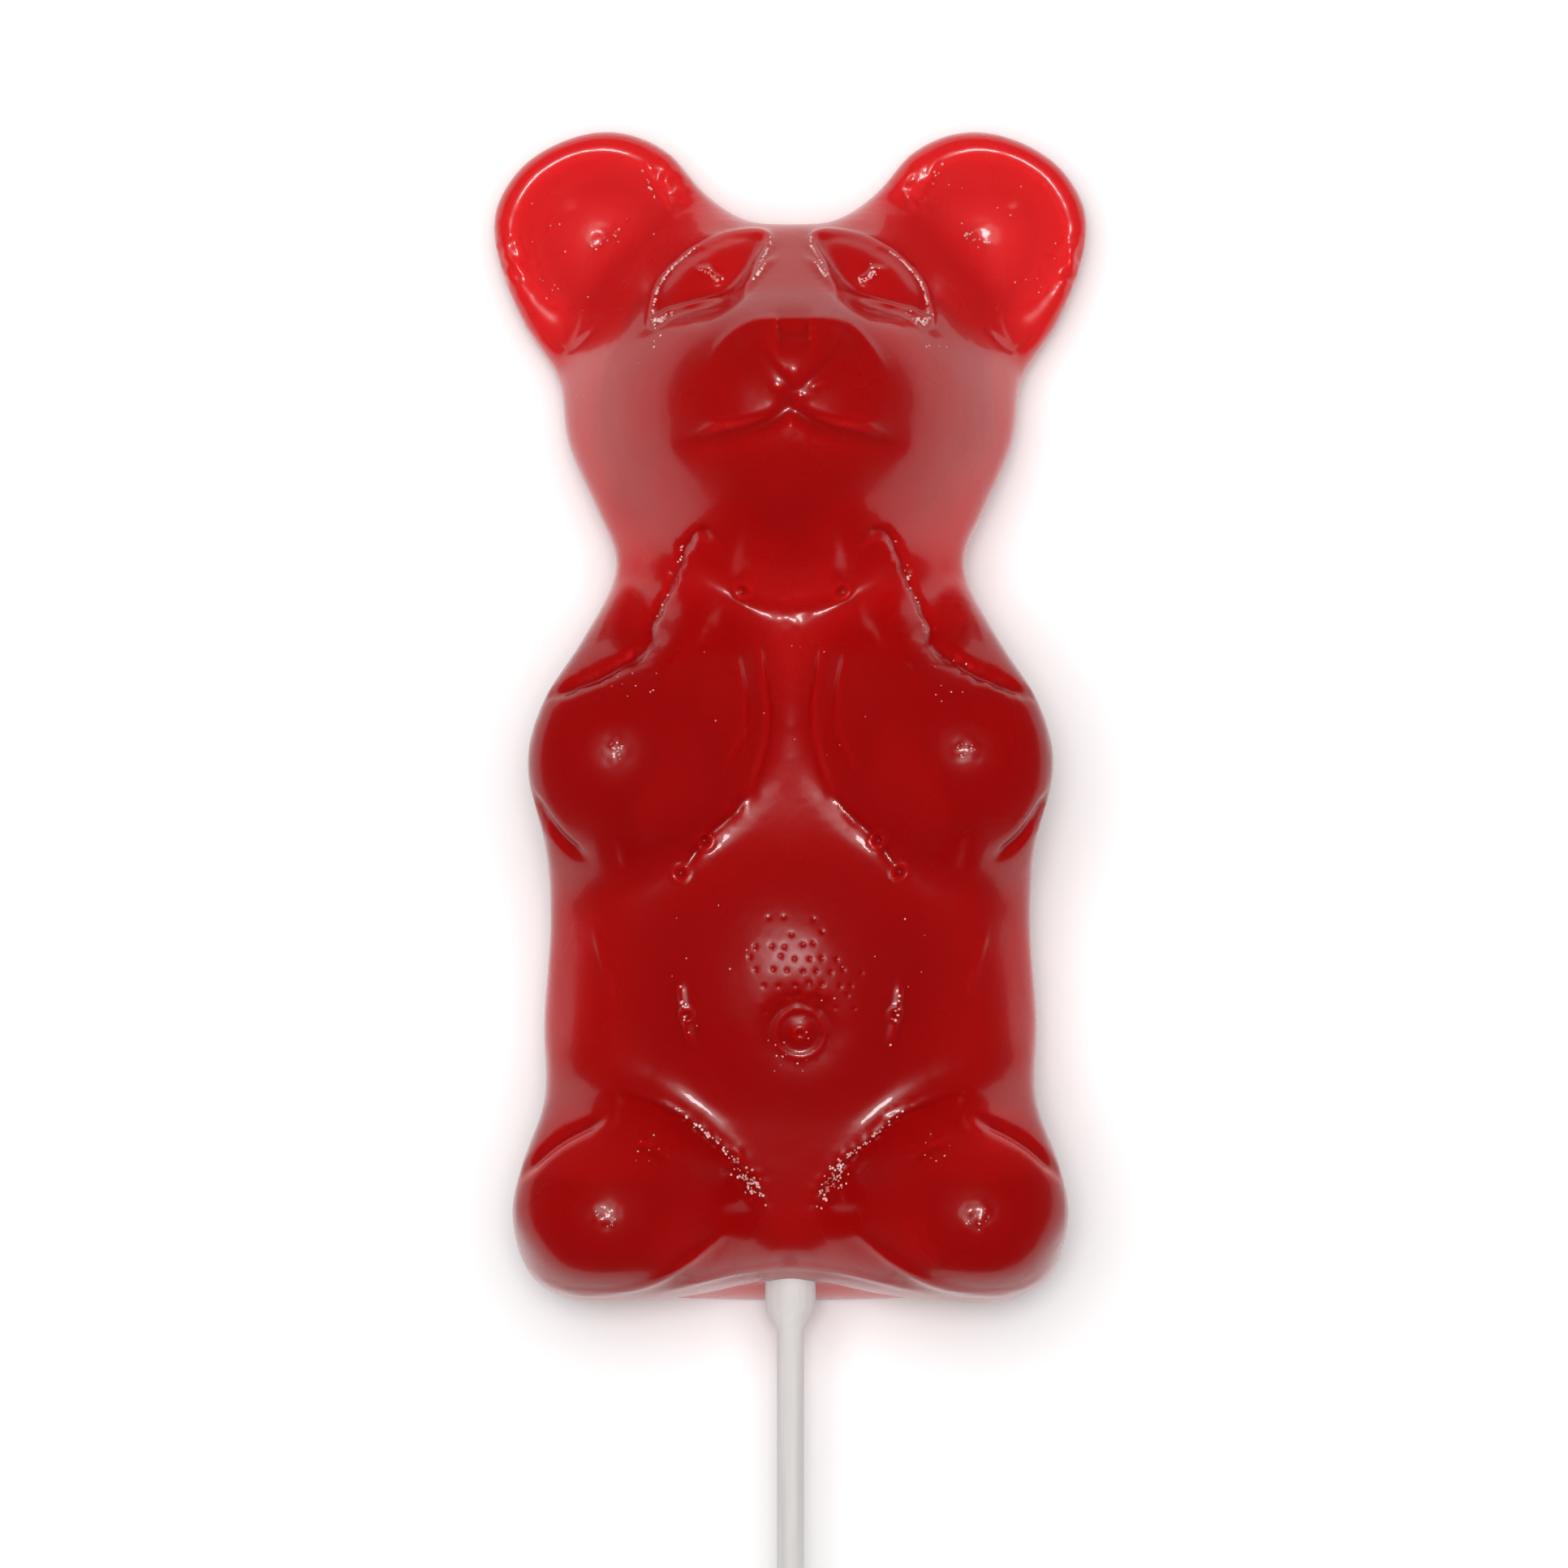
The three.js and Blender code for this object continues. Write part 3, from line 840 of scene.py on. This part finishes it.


# Small bubbles that stand out of the skin; their pale colour is painted highlight, and some sit in rows and
# clusters where the skin glints

bubbles = {
    "seed": 11,
    "lineRadius": (0.1, 0.22),  # mm
    "clusterRadius": (0.06, 0.14),
    "sunk": 0.45,  # share of the radius below the skin
    "dropHeight": 60,  # mm, from where each is dropped onto the skin
    "steepest": 0.5,  # none sit where the skin faces forward less than this
    # along a path on the left, mirrored to the right: how many and how far they stray, mm
    "lines": [
        # the rows along the groin fold paint its dotted glints with pale bubbles
        ([(-10.7, 19.8), (-8.4, 17.7), (-6.2, 15.9), (-4.5, 14.2)], 30, 0.3),
        ([(-5.6, 15.2), (-4.6, 13.6), (-3.6, 12.2), (-2.6, 10.8)], 60, 0.9),
        ([(-10.7, 32.5), (-10.5, 30.6), (-10.1, 28.4), (-9.6, 26.0)], 9, 0.3),
        ([(-19.8, 105.3), (-18.4, 105.8), (-16.9, 106.8)], 12, 0.5),
        ([(-15.1, 113.1), (-13.2, 109.6)], 7, 0.25),
        ([(-13.2, 66.4), (-11.8, 71.0), (-10.2, 75.4)], 16, 0.4),
        ([(-12.8, 95.6), (-14.6, 93.4)], 6, 1.2),
        # the rows along the eye rims, corners and eye centres paint their bright rim lines and glints with
        # pale bubbles
        ([(-13.6, 97.0), (-13.2, 100.3), (-11.6, 102.6), (-8.9, 104.6)], 60, 0.08),
        ([(-2.0, 105.4), (-1.9, 104.6), (-3.0, 102.6), (-4.6, 99.9), (-6.2, 98.9)], 60, 0.08),
        ([(-2.4, 102.6), (-3.0, 101.7), (-3.6, 100.9)], 18, 0.1),
        ([(-13.6, 97.8), (-13.4, 96.8), (-12.5, 97.0), (-11.4, 97.8)], 40, 0.35),
        ([(-9.0, 102.2), (-7.8, 101.5), (-7.0, 100.9)], 12, 0.2),
        ([(-8.0, 102.6), (-7.8, 101.4), (-7.2, 100.8), (-6.6, 101.4)], 14, 0.2),
    ],
    # round a middle on the left, mirrored to the right: how many and how far they reach, mm
    "clusters": [
        # the clusters on the paws and feet sit on their glints and paint them as pale specks
        ((-16.9, 55.0), 12, 1.0),
        ((-18.1, 9.7), 16, 1.2),
        ((-23.6, 101.0), 5, 1.4),
        ((-14.3, 16.4), 7, 1.6),
        ((-15.0, 62.0), 9, 2.6),
        ((-19.0, 106.0), 14, 8.0),
        ((0.0, 62.0), 6, 9.0),
        ((-8.0, 34.0), 8, 6.0),
        ((0.9, 26.0), 8, 2.4),
    ],
}


def makeBubbles():
    source = bmesh.new()
    source.from_mesh(bearPiece.data)
    skin = BVHTree.FromBMesh(source)
    source.free()
    pick = random.Random(bubbles["seed"])
    spots = []
    for path, count, stray in bubbles["lines"]:
        points = softened(path)
        for side in (1, -1):
            for _ in range(count):
                k = pick.randrange(len(points) - 1)
                spot = points[k].lerp(points[k + 1], pick.random())
                radius = pick.uniform(*bubbles["lineRadius"]) * mm
                x = side * (spot.x + pick.gauss(0, stray / 2))
                spots.append((x, spot.y + pick.gauss(0, stray / 2), radius))
    for (x, height), count, reach in bubbles["clusters"]:
        for side in (1, -1):
            for _ in range(count):
                turn, gap = pick.uniform(0, math.tau), reach * math.sqrt(pick.random())
                radius = pick.uniform(*bubbles["clusterRadius"]) * mm
                spots.append((side * (x + gap * math.cos(turn)), height + gap * math.sin(turn), radius))
    bm = bmesh.new()
    for x, height, radius in spots:
        place, normal = skin.ray_cast(onBear(x, height, bubbles["dropHeight"]), Vector((0, 0, -1)))[:2]
        if place is None or normal.z < bubbles["steepest"]:
            continue
        centre = place - normal * radius * bubbles["sunk"]
        bmesh.ops.create_icosphere(bm, subdivisions=1, radius=radius, matrix=Matrix.Translation(centre))
    piece = toObject(bm, "surfaceBubblesAndGlints")
    piece.data.shade_smooth()
    piece.data.materials.append(bubbleGlintPaint)
    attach(piece, "root")
    print("bubbles:", len(spots), "spots,", len(piece.data.polygons), "faces")


makeBubbles()


# The stick

stick = {
    "collarRadius": 2.5,  # mm, as are all the sizes here
    "shaftRadius": 1.35,
    "taper": 2.2,
    "tipRound": 0.4,
    "tipSteps": 4,
    "sides": 64,
    "sharpAngle": math.radians(40),
}


def makeStick():
    axisZ = (stickLow.z + stickHigh.z) / 2
    profile = [
        (0, stickLow.y),
        (stick["shaftRadius"] * mm, stickLow.y),
        (stick["shaftRadius"] * mm, baseY - stick["taper"] * mm),
        (stick["collarRadius"] * mm, baseY),
        (stick["collarRadius"] * mm, stickHigh.y),
        (0, stickHigh.y),
    ]
    bm = bmesh.new()
    corners = [bmesh.ops.create_vert(bm, co=(radius, y, axisZ))["vert"][0] for radius, y in profile]
    for a, b in zip(corners, corners[1:]):
        bm.edges.new((a, b))
    bmesh.ops.bevel(
        bm, geom=[corners[1]], offset=stick["tipRound"] * mm, segments=stick["tipSteps"], profile=0.5,
        affect="VERTICES", material=-1,
    )
    bmesh.ops.spin(
        bm, geom=bm.verts[:] + bm.edges[:], cent=(0, 0, axisZ), axis=(0, 1, 0), angle=math.tau,
        steps=stick["sides"], use_merge=True,
    )
    bmesh.ops.remove_doubles(bm, verts=bm.verts, dist=bear["weld"])
    bmesh.ops.recalc_face_normals(bm, faces=bm.faces)
    piece = toObject(bm, "paperStick")
    piece.data.shade_smooth()
    piece.data.set_sharp_from_angle(angle=stick["sharpAngle"])
    piece.data.materials.append(stickPaper)
    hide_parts("stick")
    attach(piece, "root")


makeStick()
print("stick ready")
